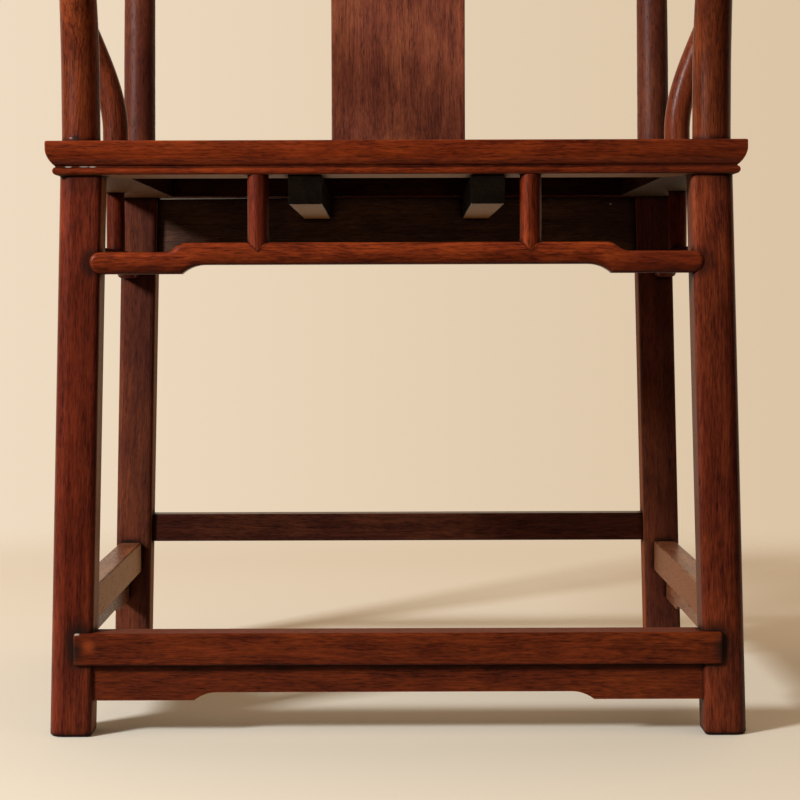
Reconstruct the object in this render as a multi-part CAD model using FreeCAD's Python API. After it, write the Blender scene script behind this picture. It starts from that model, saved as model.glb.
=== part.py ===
import FreeCAD, Part
import math
import os

from FreeCAD import Placement, Rotation, Vector

# A yoke-backed hardwood armchair whose rails run past the posts at four ends.
# Millimetres. X runs to the right as seen from the front, Y to the back and Z up from the floor.
# Left and right in the names are those seen from the front.

# Seat frame: four mitred rails with a moulded outer edge
seat_width = 597.0
seat_depth = 464.0
seat_height = 512.3
rail_width = 65.0
rail_height = 28.7
arris_radius = 1.6
edge_flat = 3.0
edge_taper = 7.3
edge_bulge = 2.5
groove_inset = 7.6
groove_height = 1.0
bead_height = 6.6
bead_inset = 5.3
bead_foot_inset = 9.4
rabbet_width = 12.0
rabbet_depth = 6.0
corner_tenon_width = 14.0
corner_tenon_height = 10.0
corner_tenon_root = 8.0
corner_tenon_side_wall = 3.0
corner_tenon_end_wall = 14.0
corner_tenon_floor = 9.0

# Woven seat mat, its pressing strips and their pegs
mat_thickness = 1.5
mat_sag = 7.0
strip_width = 10.0
peg_radius = 1.6
peg_length = 16.0
long_strip_peg_count = 4
short_strip_peg_count = 3

# Legs: square below the seat, with the outer corner rounded, and a round post above it
leg_width = 37.0
leg_outer_radius = 12.0
leg_corner_radius = 5.0
leg_inset_side = 28.1
leg_spread_side = 13.2
leg_spread_depth = 5.8
foot_radius = 3.0
post_inset_side = 26.9
post_inset_depth = 29.0
post_radius = 16.5

# All posts keep their girth low down and thin towards their tops
taper_power = 2.0

# Front posts curve forward like a goose neck
neck_foot_rise = 55.0
neck_reach = 30.0
neck_top_radius = 12.5

# Back posts lean back in one long curve
back_lean = 69.0
lean_power = 1.35
back_top_radius = 13.5

# Side posts swing outwards
side_post_inset = 29.1
side_post_foot_radius = 12.2
side_post_top_radius = 9.6
side_post_foot_rise = 25.0
side_post_swing_height = 180.0
side_post_swing = 48.6

# Armrests: from the back posts, out over the side posts and past the front posts
arm_back_rise = 255.0
arm_side_rise = 240.0
arm_front_rise = 228.0
arm_tip_rise = 227.0
arm_tip_reach = 47.0
arm_tip_flare = 16.0
arm_back_radius = 12.0
arm_front_radius = 14.5
arm_tip_rounding = 9.0

# Crest rail: raised middle, thin round ends that run past the posts and turn up
crest_post_rise = 584.0
crest_middle_lift = 19.0
crest_shoulder_lift = 16.0
crest_shoulder_share = 0.46
crest_middle_set_back = 8.0
crest_shoulder_set_back = 6.5
crest_end_length = 48.0
crest_end_rise = 9.0
crest_end_set_back = 9.0
crest_middle_height = 40.0
crest_middle_depth = 26.0
crest_end_height = 28.0
crest_end_depth = 27.0
crest_tip_rounding = 8.0

# Splat: one plain board with an S-shaped side view
splat_width = 141.0
splat_offset = 2.1
splat_thickness = 11.0
splat_edge_radius = 1.5
splat_foot_inset = 31.0
splat_tongue_width = 121.0
splat_tongue_thickness = 6.0
splat_tongue_depth = 12.0
splat_rise_shares = (0.0, 0.15, 0.32, 0.46, 0.63, 0.80, 0.93, 1.0)
splat_lean_shares = (0.0, 0.10, 0.09, 0.08, 0.27, 0.60, 0.88, 1.0)

# Humped stretchers under the seat: low ends, raised middle
hump_height = 19.0
hump_depth = 20.0
hump_drop = 75.1
hump_rise = 7.8
hump_rounding = 4.5
hump_top_step = 20.0
hump_nose_top_radius = 8.0
hump_nose_bottom_radius = 10.5
front_hump_set_forward = 11.5
front_hump_lap = 9.6
front_hump_middle_span = 328.4
front_hump_step = 20.0
front_hump_top_span = 359.3
side_hump_inset = 18.1
side_hump_middle_span = 262.0
side_hump_step = 26.0
side_hump_top_span = 282.0

# Struts between the humped stretchers and the seat
strut_radius = 9.2
strut_point = 7.8
strut_proud = 0.5
front_strut_spacing = 233.5
front_strut_offset = -1.9
side_strut_spacing = 168.0

# Braces under the seat, spread a little towards the back
brace_width = 28.5
brace_front_height = 25.3
brace_back_height = 22.3
brace_front_spacing = 156.4
brace_back_spacing = 167.0
brace_front_inset = 10.0
brace_edge_radius = 1.2
brace_tenon_length = 14.0
brace_tenon_width = 12.0
brace_tenon_height = 9.0
brace_tenon_setback = 8.0

# Back apron, held in grooves of the back legs, with a shrinkage gap above its left end
back_apron_inset = 36.0
back_apron_thickness = 13.0
back_apron_drop = 61.0
back_apron_end_drop = 69.0
back_apron_gap_left = 1.4
back_apron_gap_right = 0.1
back_apron_gap_length = 215.0
back_apron_middle_span = 300.0
back_apron_step = 20.0

# Footrest and the apron under it
footrest_lap = 16.4
footrest_depth = 29.0
footrest_height = 27.9
footrest_top = 90.5
footrest_set_back = 1.2
footrest_rounding = 2.5
foot_apron_thickness = 10.0
foot_apron_inset = 9.8
foot_apron_height = 24.6
foot_apron_end_height = 31.5
foot_apron_middle_span = 307.1
foot_apron_step = 19.5
foot_apron_recess_offset = -3.4

# Lower stretchers and side aprons
side_stretcher_width = 22.8
side_stretcher_height = 30.9
side_stretcher_foot = 88.0
side_stretcher_inset = 14.9
back_stretcher_depth = 21.0
back_stretcher_height = 28.9
back_stretcher_foot = 119.4
stretcher_rounding = 1.5
side_apron_thickness = 10.0
side_apron_inset = 8.3
side_apron_height = 24.0
side_apron_end_height = 29.5
side_apron_middle_span = 188.0
side_apron_step = 15.0

# Joints
fit = 0.15
tenon_root = 4.0
tenon_length = 12.0
tenon_thickness = 8.0
tenon_side_wall = 4.0
groove_depth = 6.0
round_tenon_radius = 6.0
round_tenon_length = 10.0
strut_tenon_radius = 4.5
overrun = 5.0
quarter_turn = 90.0

# Number of cross-sections that shape a curved member
rod_stations = 9
arm_stations = 15
crest_stations = 21

# Places that follow from the sizes
seat_underside = seat_height - rail_height
half_width = seat_width / 2
half_depth = seat_depth / 2
opening_x = half_width - rail_width
opening_y = half_depth - rail_width
post_x = half_width - post_inset_side
post_y = half_depth - post_inset_depth
splat_foot_y = half_depth - splat_foot_inset
crest_y = post_y + back_lean
crest_post_z = seat_height + crest_post_rise
crest_middle = Vector(0, crest_y + crest_middle_set_back, crest_post_z + crest_middle_lift)
hump_z = seat_underside - hump_drop
front_hump_y = -post_y - front_hump_set_forward
side_hump_x = half_width - side_hump_inset
strut_shift = hump_depth / 2 + strut_proud - strut_radius
front_strut_y = front_hump_y - strut_shift
side_strut_x = side_hump_x + strut_shift
front_strut_places = (front_strut_offset + front_strut_spacing / 2,
                      front_strut_offset - front_strut_spacing / 2)
side_post_x = half_width - side_post_inset


def leg_x(z):
    """Distance of the leg's centre from the middle plane, at a height."""
    return half_width - leg_inset_side + leg_spread_side * (seat_underside - z) / seat_underside


def leg_y(z):
    """Distance of the leg's centre in front of or behind the seat's centre, at a height."""
    return post_y + leg_spread_depth * (seat_underside - z) / seat_underside


def smooth(share):
    """A rise from 0 to 1 that starts and ends level."""
    return share * share * (3 - 2 * share)


def smooth_slope(share):
    """The slope of that rise."""
    return 6 * share * (1 - share)


def between(low, high, share):
    """The value at a share of the way from low to high."""
    return low + (high - low) * share


class Outline:
    """A closed outline drawn from point to point in two coordinates."""

    def __init__(self, *start):
        self.start = start
        self.at = start
        self.pieces = []

    def line(self, *end):
        if math.dist(self.at, end) > 0:
            self.pieces.append((self.at, end))
        self.at = end
        return self

    def arc(self, middle, end):
        self.pieces.append((self.at, middle, end))
        self.at = end
        return self

    def bow(self, bulge, *end):
        """An arc that bulges to the right of its way by a length."""
        run = end[0] - self.at[0]
        rise = end[1] - self.at[1]
        share = bulge / math.hypot(run, rise)
        middle = ((self.at[0] + end[0]) / 2 + rise * share, (self.at[1] + end[1]) / 2 - run * share)
        return self.arc(middle, end)

    def level_arc(self, *end, level_start):
        """An arc between two points that is level at its start or at its end."""
        level, other = (self.at, end) if level_start else (end, self.at)
        run = other[0] - level[0]
        rise = other[1] - level[1]
        radius = (run * run + rise * rise) / (2 * abs(rise))
        half_turn = math.asin(abs(run) / radius) / 2
        middle = (level[0] + math.copysign(radius * math.sin(half_turn), run),
                  level[1] + math.copysign(radius * (1 - math.cos(half_turn)), rise))
        return self.arc(middle, end)

    def s_curve(self, *end):
        """Two equal arcs, level at both ends."""
        halfway = ((self.at[0] + end[0]) / 2, (self.at[1] + end[1]) / 2)
        return self.level_arc(*halfway, level_start=True).level_arc(*end, level_start=False)

    def face(self, place):
        """The closed face, each point put in space by the function place."""
        self.line(*self.start)
        edges = []
        for piece in self.pieces:
            points = [place(*point) for point in piece]
            curve = Part.LineSegment(*points) if len(points) == 2 else Part.Arc(*points)
            edges.append(curve.toShape())
        return Part.Face(Part.Wire(edges))


def rounded_polygon(corners, radii):
    """An outline through corners, each rounded by its own radius."""
    starts = []
    ends = []
    middles = []
    for index, corner in enumerate(corners):
        here = Vector(*corner, 0)
        before = (Vector(*corners[index - 1], 0) - here).normalize()
        after = (Vector(*corners[(index + 1) % len(corners)], 0) - here).normalize()
        half_angle = before.getAngle(after) / 2
        radius = radii[index]
        inward = (before + after).normalize()
        starts.append(here + before * (radius / math.tan(half_angle)))
        ends.append(here + after * (radius / math.tan(half_angle)))
        middles.append(here + inward * (radius / math.sin(half_angle) - radius))
    outline = Outline(*ends[-1][:2])
    for start, middle, end, radius in zip(starts, middles, ends, radii):
        outline.line(*start[:2])
        if radius > 0:
            outline.arc(tuple(middle[:2]), tuple(end[:2]))
    return outline


def block(x_range, y_range, z_range, grow=0):
    """A box between two values on each axis, grown on every side."""
    low = Vector(min(x_range) - grow, min(y_range) - grow, min(z_range) - grow)
    high = Vector(max(x_range) + grow, max(y_range) + grow, max(z_range) + grow)
    return Part.makeBox(high.x - low.x, high.y - low.y, high.z - low.z, low)


def around(centre, size):
    """The range of a size about its centre."""
    return (centre - size / 2, centre + size / 2)


def left_of(shape):
    """The same shape on the other side of the middle plane."""
    return shape.mirror(Vector(0, 0, 0), Vector(1, 0, 0))


def behind(shape):
    """The same shape mirrored from the front to the back."""
    return shape.mirror(Vector(0, 0, 0), Vector(0, 1, 0))


def both_sides(shapes):
    """Shapes of the right side, with their mirror images."""
    return shapes + [left_of(shape) for shape in shapes]


def front_and_back(shapes):
    """Shapes of the front, with their mirror images at the back."""
    return shapes + [behind(shape) for shape in shapes]


def upright(shape_outline, depth_range):
    """A front-view outline carried from front to back."""
    front, back = depth_range
    return shape_outline.face(lambda x, z: Vector(x, front, z)).extrude(Vector(0, back - front, 0))


def sideways(shape_outline, width_range):
    """A side-view outline carried across the chair."""
    left, right = width_range
    return shape_outline.face(lambda y, z: Vector(left, y, z)).extrude(Vector(right - left, 0, 0))


def plan(shape_outline, height_range):
    """A plan outline carried upwards."""
    low, high = height_range
    return shape_outline.face(lambda x, y: Vector(x, y, low)).extrude(Vector(0, 0, high - low))


def ring(centre, direction, half_height, half_depth):
    """A round or oval cross-section, square to a direction."""
    if half_height > half_depth:
        curve = Part.Ellipse(Vector(0, 0, 0), half_height, half_depth)
    else:
        curve = Part.Circle(Vector(0, 0, 0), Vector(0, 0, 1), half_depth)
    wire = Part.Wire(curve.toShape())
    wire.Placement = Placement(centre, Rotation(Vector(0, 0, 1), direction))
    return wire


def rod(stations, grow=0):
    """A smooth solid through cross-sections: centre, direction and half sizes."""
    rings = [ring(centre, direction, half_height + grow, half_depth + grow)
             for centre, direction, half_height, half_depth in stations]
    return Part.makeLoft(rings, True)


def along(points, count, straight_ends=False):
    """Places and directions along a smooth curve through points, with their shares of the way."""
    curve = Part.BSplineCurve()
    if straight_ends:
        curve.interpolate(Points=points, InitialTangent=points[1] - points[0],
                          FinalTangent=points[-1] - points[-2])
    else:
        curve.interpolate(points)
    places = []
    for index in range(count):
        share = index / (count - 1)
        at = between(curve.FirstParameter, curve.LastParameter, share)
        places.append((curve.value(at), curve.tangent(at)[0], share))
    return places


def round_tenon(centre, direction, radius, back, forward, grow=0):
    """A pin about a point, from a length behind it to a length past it."""
    way = Vector(direction).normalize()
    start = centre - way * (back + grow)
    return Part.makeCylinder(radius + grow, back + forward + 2 * grow, start, way)


def round_off(solid, point, radius):
    """Round the end edge that lies nearest a point."""
    edge = min(solid.Edges, key=lambda one: (one.BoundBox.Center - point).Length)
    return solid.makeFillet(radius, [edge])


def rail_profile():
    """Section of a seat rail: inset from the outer edge, and height from the top."""
    corner = arris_radius * (1 - math.sqrt(0.5))
    bead_top = bead_height - rail_height
    inner_rabbet = rail_width - rabbet_width
    outline = Outline(inner_rabbet, 0).line(arris_radius, 0)
    outline.arc((corner, -corner), (0, -arris_radius)).line(0, -edge_flat)
    outline.bow(edge_bulge, edge_taper, bead_top + groove_height)
    outline.line(groove_inset, bead_top + groove_height).line(groove_inset, bead_top)
    outline.line(edge_taper, bead_top)
    outline.arc((bead_inset, bead_top - bead_height / 2), (bead_foot_inset, -rail_height))
    outline.line(rail_width, -rail_height).line(rail_width, -rabbet_depth)
    return outline.line(inner_rabbet, -rabbet_depth)


def mitred(outer_half, length, width):
    """Plan of a frame member at the front, cut to 45 degrees at both ends."""
    inner_half_length = length / 2 - width
    outline = Outline(-length / 2, -outer_half).line(length / 2, -outer_half)
    return outline.line(inner_half_length, width - outer_half).line(-inner_half_length, width - outer_half)


def turned(shape, degrees):
    """A shape turned about the seat's centre."""
    copy = shape.copy()
    copy.rotate(Vector(0, 0, 0), Vector(0, 0, 1), degrees)
    return copy


def seat_rail(outer_half, length):
    """A rail as it lies at the front."""
    section = rail_profile().face(lambda inset, height: Vector(-length / 2, inset - outer_half,
                                                               seat_height + height))
    bar = section.extrude(Vector(length, 0, 0))
    return bar.common(plan(mitred(outer_half, length, rail_width),
                           (seat_underside - overrun, seat_height + overrun)))


def corner_tenon(grow=0):
    """The front rail's tenon into the right-hand rail, inside the post."""
    near = opening_y + corner_tenon_side_wall
    foot = seat_underside + corner_tenon_floor
    return block((opening_x - corner_tenon_root, half_width - corner_tenon_end_wall),
                 (-near - corner_tenon_width, -near), (foot, foot + corner_tenon_height), grow)


def post_hole():
    """The hole for the front right post."""
    return Part.makeCylinder(post_radius + fit, rail_height + 2 * overrun,
                             Vector(post_x, -post_y, seat_underside - overrun))


def strip_plan(outer_half, length):
    """Plan of a pressing strip at the front, as it lies in the rabbet."""
    inset = rail_width - rabbet_width + fit
    return mitred(outer_half - inset, length - 2 * inset, strip_width)


def peg_places(outer_half, length, count):
    """Where the pegs of the front strip stand."""
    row = rail_width - rabbet_width + fit + strip_width / 2 - outer_half
    pitch = (length - 2 * rail_width) / count
    return [Vector(pitch * (index - (count - 1) / 2), row, 0) for index in range(count)]


def seat_pegs(grow=0):
    """All pegs, each through its strip and the mat into the rail."""
    pegs = []
    sides = ((half_depth, seat_width, long_strip_peg_count, (0, 180)),
             (half_width, seat_depth, short_strip_peg_count, (90, 270)))
    for outer_half, length, count, turns in sides:
        for place in peg_places(outer_half, length, count):
            foot = place + Vector(0, 0, seat_height - peg_length - grow)
            peg = Part.makeCylinder(peg_radius + grow, peg_length + 2 * grow, foot)
            pegs += [turned(peg, turn) for turn in turns]
    return pegs


def sagging_face(height):
    """The mat's hanging middle at one height: straight edges and a low centre."""
    surface = Part.BezierSurface()
    surface.increase(2, 2)
    for column, x in enumerate((-opening_x, 0, opening_x)):
        for row, y in enumerate((-opening_y, 0, opening_y)):
            depth = 4 * mat_sag if x == 0 and y == 0 else 0
            surface.setPole(column + 1, row + 1, Vector(x, y, height - depth))
    return surface.toShape()


def seat_mat():
    """The mat: a flat border in the rabbet and a sagging middle."""
    low = seat_height - rabbet_depth
    high = low + mat_thickness
    border_x = opening_x + rabbet_width - fit
    border_y = opening_y + rabbet_width - fit
    border = block((-border_x, border_x), (-border_y, border_y), (low, high))
    border = border.cut(block((-opening_x, opening_x), (-opening_y, opening_y),
                              (low - overrun, high + overrun)))
    corners = [(-opening_x, -opening_y), (opening_x, -opening_y), (opening_x, opening_y),
               (-opening_x, opening_y)]
    walls = []
    for index, corner in enumerate(corners):
        after = corners[(index + 1) % len(corners)]
        rim = [Vector(*corner, low), Vector(*after, low), Vector(*after, high), Vector(*corner, high)]
        walls.append(Part.Face(Part.makePolygon(rim + rim[:1])))
    shell = Part.Shell([sagging_face(low), sagging_face(high)] + walls)
    middle = Part.Solid(shell)
    if middle.Volume < 0:
        middle.reverse()
    return border.fuse(middle)


def leg_stick(grow=0):
    """The square part of the front right leg, spread outwards towards the floor."""
    half = leg_width / 2 + grow
    radii = [leg_outer_radius + grow] + [leg_corner_radius + grow] * 3
    foot_x = leg_x(0)
    foot_y = -leg_y(0)
    corners = [(foot_x + half, foot_y - half), (foot_x + half, foot_y + half),
               (foot_x - half, foot_y + half), (foot_x - half, foot_y - half)]
    section = rounded_polygon(corners, radii).face(lambda x, y: Vector(x, y, 0))
    lean = Vector(leg_x(seat_underside) - foot_x, -leg_y(seat_underside) - foot_y, seat_underside)
    return section.extrude(lean)


def leg_with_foot():
    """The square part with its foot rounded off."""
    stick = leg_stick()
    rim = [edge for edge in stick.Edges if edge.BoundBox.ZMax < foot_radius]
    return stick.makeFillet(foot_radius, rim)


def swing(foot, top, low_radius, high_radius):
    """Cross-sections of a post that swings sideways on its way up and is upright at both ends."""
    stations = []
    sweep = Vector(top.x - foot.x, top.y - foot.y, 0)
    climb = Vector(0, 0, top.z - foot.z)
    for index in range(rod_stations):
        share = index / (rod_stations - 1)
        centre = foot + sweep * smooth(share) + climb * share
        radius = between(low_radius, high_radius, share ** taper_power)
        stations.append((centre, sweep * smooth_slope(share) + climb, radius, radius))
    return stations


def arm_line():
    """The points that the right armrest's centre runs through, from the back post to its tip."""
    front = Vector(post_x, -post_y - neck_reach, seat_height + arm_front_rise)
    side = Vector(side_post_x + side_post_swing, 0, seat_height + arm_side_rise)
    tip = Vector(front.x + arm_tip_flare, front.y - arm_tip_reach, seat_height + arm_tip_rise)
    return [back_post_point(arm_back_rise / crest_post_rise), side, front, tip]


def back_post_point(share):
    """The back post's centre at a share of its height above the seat."""
    return Vector(post_x, post_y + back_lean * share ** lean_power, seat_height + crest_post_rise * share)


def back_post(grow=0):
    """The leaning post above the seat, up to the crest rail's centre line."""
    stations = []
    for index in range(rod_stations):
        share = index / (rod_stations - 1)
        slope = back_lean * lean_power * share ** (lean_power - 1)
        radius = between(post_radius, back_top_radius, share ** taper_power)
        stations.append((back_post_point(share), Vector(0, slope, crest_post_rise), radius, radius))
    return rod(stations, grow)


def neck():
    """The goose neck, from where it leaves the upright to the armrest's centre line."""
    foot = Vector(post_x, -post_y, seat_height + neck_foot_rise)
    top = Vector(post_x, -post_y - neck_reach, seat_height + arm_front_rise)
    return rod(swing(foot, top, post_radius, neck_top_radius))


def upright_post(top):
    """The round shaft through the seat frame, rooted in the square leg."""
    foot = seat_underside - overrun
    return Part.makeCylinder(post_radius, top - foot, Vector(post_x, -post_y, foot))


def armrest(grow=0):
    """The whole curved armrest of the right side."""
    stations = [(place, way, between(arm_back_radius, arm_front_radius, share),
                 between(arm_back_radius, arm_front_radius, share))
                for place, way, share in along(arm_line(), arm_stations, straight_ends=True)]
    solid = rod(stations, grow)
    if grow:
        return solid
    return round_off(solid, arm_line()[-1], arm_tip_rounding)


def crest_line():
    """The points of the crest rail's centre, from its left end to its right end."""
    end = Vector(post_x + crest_end_length, crest_y + crest_end_set_back, crest_post_z + crest_end_rise)
    post = Vector(post_x, crest_y, crest_post_z)
    shoulder = Vector(post_x * crest_shoulder_share, crest_y + crest_shoulder_set_back,
                      crest_post_z + crest_shoulder_lift)
    right = [shoulder, post, end]
    return [Vector(-point.x, point.y, point.z) for point in reversed(right)] + [crest_middle] + right


def crest_rail(grow=0):
    """The crest rail, an upright oval at its middle and round at its ends."""
    stations = []
    for place, way, _ in along(crest_line(), crest_stations):
        share = smooth(min(1, abs(place.x) / post_x))
        stations.append((place, way, between(crest_middle_height, crest_end_height, share) / 2,
                         between(crest_middle_depth, crest_end_depth, share) / 2))
    solid = rod(stations, grow)
    if grow:
        return solid
    for point in (crest_line()[0], crest_line()[-1]):
        solid = round_off(solid, point, crest_tip_rounding)
    return solid


def splat_board(width, thickness, grow=0):
    """A board along the splat's S-shaped line, from inside the seat rail to the crest rail's centre."""
    half = thickness / 2 + grow
    line = []
    for rise_share, lean_share in zip(splat_rise_shares, splat_lean_shares):
        line.append(Vector(0, between(splat_foot_y, crest_middle.y, lean_share),
                           between(seat_height, crest_middle.z, rise_share)))
    edges = []
    for offset in (-half, half):
        curve = Part.BSplineCurve()
        curve.interpolate([point + Vector(0, offset, 0) for point in line])
        edges.append(curve.toShape())
    for end in (line[0], line[-1]):
        edges.append(Part.LineSegment(end - Vector(0, half, 0), end + Vector(0, half, 0)).toShape())
    side = Part.Face(Part.Wire(Part.__sortEdges__(edges)))
    side.translate(Vector(splat_offset - width / 2 - grow, 0, 0))
    return side.extrude(Vector(width + 2 * grow, 0, 0))


def splat_foot_tongue(grow=0):
    """The tongue that holds the splat's foot in the back rail."""
    return block(around(splat_offset, splat_tongue_width), around(splat_foot_y, splat_tongue_thickness),
                 (seat_height - splat_tongue_depth, seat_height + tenon_root), grow)


def splat():
    """The back board, coped to the underside of the crest rail."""
    board = splat_board(splat_width, splat_thickness)
    long_edges = [edge for edge in board.Edges if edge.BoundBox.ZLength > crest_post_rise / 2]
    board = board.makeFillet(splat_edge_radius, long_edges)
    board = board.cut(crest_rail(fit))
    tongue = splat_board(splat_tongue_width, splat_tongue_thickness)
    return board.fuse([tongue, splat_foot_tongue()])


def humped(half_length, middle_span, step, top_span, nose_radii):
    """Front view of a humped stretcher about its low ends' centre line."""
    half = hump_height / 2
    top_radius, bottom_radius = nose_radii
    low_x = middle_span / 2 + step
    high_x = top_span / 2
    outline = Outline(-middle_span / 2, hump_rise - half).line(middle_span / 2, hump_rise - half)
    outline.level_arc(low_x, -half, level_start=True).line(half_length - bottom_radius, -half)
    nose(outline, 1, half_length, -half, half, bottom_radius, top_radius)
    outline.line(high_x + hump_top_step, half).s_curve(high_x, half + hump_rise)
    outline.line(-high_x, half + hump_rise).s_curve(-high_x - hump_top_step, half)
    outline.line(top_radius - half_length, half)
    nose(outline, -1, half_length, half, -half, top_radius, bottom_radius)
    return outline.line(-low_x, -half).level_arc(-middle_span / 2, hump_rise - half, level_start=False)


def nose(outline, side, half_length, start, end, first_radius, second_radius):
    """The rounded end of a stretcher, from one long side to the other."""
    if first_radius == 0:
        outline.line(side * half_length, end)
        return
    turn = math.copysign(1, end - start)
    share = 1 - math.sqrt(0.5)
    outline.arc((side * (half_length - first_radius * share), start + turn * first_radius * share),
                (side * half_length, start + turn * first_radius))
    outline.line(side * half_length, end - turn * second_radius)
    outline.arc((side * (half_length - second_radius * share), end - turn * second_radius * share),
                (side * (half_length - second_radius), end))


def soften(solid, axis, radius):
    """Round the edges of the two flat faces that look along an axis."""
    box = solid.BoundBox
    limits = {"x": (box.XMin, box.XMax), "y": (box.YMin, box.YMax)}[axis]
    rim = []
    for edge in solid.Edges:
        low, high = ((edge.BoundBox.XMin, edge.BoundBox.XMax) if axis == "x"
                     else (edge.BoundBox.YMin, edge.BoundBox.YMax))
        if high - low < radius and min(abs(low - limits[0]), abs(high - limits[1])) < radius / 2:
            rim.append(edge)
    return solid.makeFillet(radius, rim)


def front_hump_bar():
    """The front humped stretcher before its ends are coped to the legs."""
    half_length = leg_x(hump_z) - leg_width / 2 + front_hump_lap
    outline = humped(half_length, front_hump_middle_span, front_hump_step, front_hump_top_span,
                     (hump_nose_top_radius, hump_nose_bottom_radius))
    bar = upright(outline, around(front_hump_y, hump_depth))
    bar.translate(Vector(0, 0, hump_z))
    return soften(bar, "y", hump_rounding)


def side_hump_bar():
    """The right humped stretcher before its ends are coped to the legs."""
    half_length = leg_y(hump_z) - leg_width / 2 + leg_corner_radius
    outline = humped(half_length, side_hump_middle_span, side_hump_step, side_hump_top_span, (0, 0))
    bar = sideways(outline, around(side_hump_x, hump_depth))
    bar.translate(Vector(0, 0, hump_z))
    return soften(bar, "x", hump_rounding)


def strut(x, y, across):
    """A round strut with a pointed foot let into the humped stretcher, its point seen across an axis."""
    raised_top = hump_z + hump_height / 2 + hump_rise
    tip = raised_top - strut_point
    reach = strut_radius + overrun
    shoulder = tip + strut_point * reach / strut_radius
    roof = Outline(0, tip).line(reach, shoulder).line(reach, seat_underside)
    roof.line(-reach, seat_underside).line(-reach, shoulder)
    shaft = Part.makeCylinder(strut_radius, seat_underside - tip, Vector(0, 0, tip))
    footed = shaft.common(upright(roof, (-reach, reach)))
    if across == "y":
        footed.rotate(Vector(), Vector(0, 0, 1), quarter_turn)
    footed.translate(Vector(x, y, 0))
    return footed


def strut_tenons(x, y, grow=0):
    """The strut's tenons: up into the seat rail and down into the stretcher."""
    up = Vector(0, 0, 1)
    raised_top = hump_z + hump_height / 2 + hump_rise
    tip = raised_top - strut_point
    return [round_tenon(Vector(x, y, seat_underside), up, strut_tenon_radius, tenon_root,
                        round_tenon_length, grow),
            round_tenon(Vector(x, y, tip), -up, strut_tenon_radius, strut_point + tenon_root,
                        (hump_height - strut_point) / 2, grow)]


def stepped_board(length, top, middle, end, middle_span, step, offset=0):
    """Front view of an apron: its top as points from the right, its lower edge stepped near its ends."""
    low_x = middle_span / 2 + step
    outline = Outline(-length / 2, end).line(offset - low_x, end)
    outline.level_arc(offset - middle_span / 2, middle, level_start=False)
    outline.line(offset + middle_span / 2, middle)
    outline.level_arc(offset + low_x, end, level_start=True).line(length / 2, end)
    for point in top:
        outline.line(*point)
    return outline


def level_top(length, height):
    """The two ends of an apron's straight level top."""
    return ((length / 2, height), (-length / 2, height))


def tongue_to_side(z, y, height, grow=0):
    """A tenon along X into a leg of the right side."""
    face = leg_x(z) - leg_width / 2
    return block((face - tenon_root, face + tenon_length), around(y, tenon_thickness), around(z, height),
                 grow)


def tongue_to_front(z, x, height, grow=0):
    """A tenon along Y into the front right leg."""
    face = leg_y(z) - leg_width / 2
    return block(around(x, tenon_thickness), (-face - tenon_length, tenon_root - face), around(z, height),
                 grow)


def groove_to_side(y_range, z_range, grow=0):
    """The end of an apron that lies across the chair, in its groove of a right leg."""
    face = leg_x(sum(z_range) / 2) - leg_width / 2
    return block((face - tenon_root, face + groove_depth), y_range, z_range, grow)


def groove_to_front(x_range, z_range, grow=0):
    """The end of a side apron, in its groove of the front right leg."""
    face = leg_y(sum(z_range) / 2) - leg_width / 2
    return block(x_range, (-face - groove_depth, tenon_root - face), z_range, grow)


# Places of the lower members
footrest_z = footrest_top - footrest_height / 2
footrest_bottom = footrest_top - footrest_height
footrest_y = (footrest_set_back - half_depth, footrest_set_back + footrest_depth - half_depth)
foot_apron_y = (foot_apron_inset - half_depth, foot_apron_inset + foot_apron_thickness - half_depth)
side_stretcher_z = side_stretcher_foot + side_stretcher_height / 2
side_stretcher_x = half_width - side_stretcher_inset
side_apron_x = around(half_width - side_apron_inset, side_apron_thickness)
back_stretcher_z = back_stretcher_foot + back_stretcher_height / 2
back_apron_y = (half_depth - back_apron_inset, half_depth - back_apron_inset + back_apron_thickness)
hump_tongue_height = hump_height - 2 * tenon_side_wall
footrest_tongue_height = footrest_height - 2 * tenon_side_wall
side_tongue_height = side_stretcher_height - 2 * tenon_side_wall
back_tongue_height = back_stretcher_height - 2 * tenon_side_wall
footrest_tongue_y = -leg_y(footrest_z)

front_apron_ends = (foot_apron_y, (footrest_bottom - foot_apron_end_height, footrest_bottom))
side_apron_ends = (side_apron_x, (side_stretcher_foot - side_apron_end_height, side_stretcher_foot))
back_apron_top = seat_underside - min(back_apron_gap_left, back_apron_gap_right)
back_apron_ends = (back_apron_y, (seat_underside - back_apron_end_drop, back_apron_top))


def front_leg_sockets(grow):
    """What the members put into the front right leg."""
    return [tongue_to_side(hump_z, front_hump_y, hump_tongue_height, grow),
            tongue_to_front(hump_z, side_hump_x, hump_tongue_height, grow),
            tongue_to_side(footrest_z, footrest_tongue_y, footrest_tongue_height, grow),
            tongue_to_front(side_stretcher_z, side_stretcher_x, side_tongue_height, grow),
            groove_to_side(*front_apron_ends, grow),
            groove_to_front(*side_apron_ends, grow)]


def back_leg_sockets(grow):
    """What the members put into the back right leg."""
    return [behind(tongue_to_front(hump_z, side_hump_x, hump_tongue_height, grow)),
            behind(tongue_to_front(side_stretcher_z, side_stretcher_x, side_tongue_height, grow)),
            behind(groove_to_front(*side_apron_ends, grow)),
            tongue_to_side(back_stretcher_z, leg_y(back_stretcher_z), back_tongue_height, grow),
            groove_to_side(*back_apron_ends, grow)]


def arm_front_tenon(grow=0):
    """The front post's tenon into the armrest."""
    top = arm_line()[2]
    return round_tenon(top, Vector(0, 0, 1), round_tenon_radius, arm_front_radius + tenon_root,
                       round_tenon_length / 2, grow)


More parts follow.
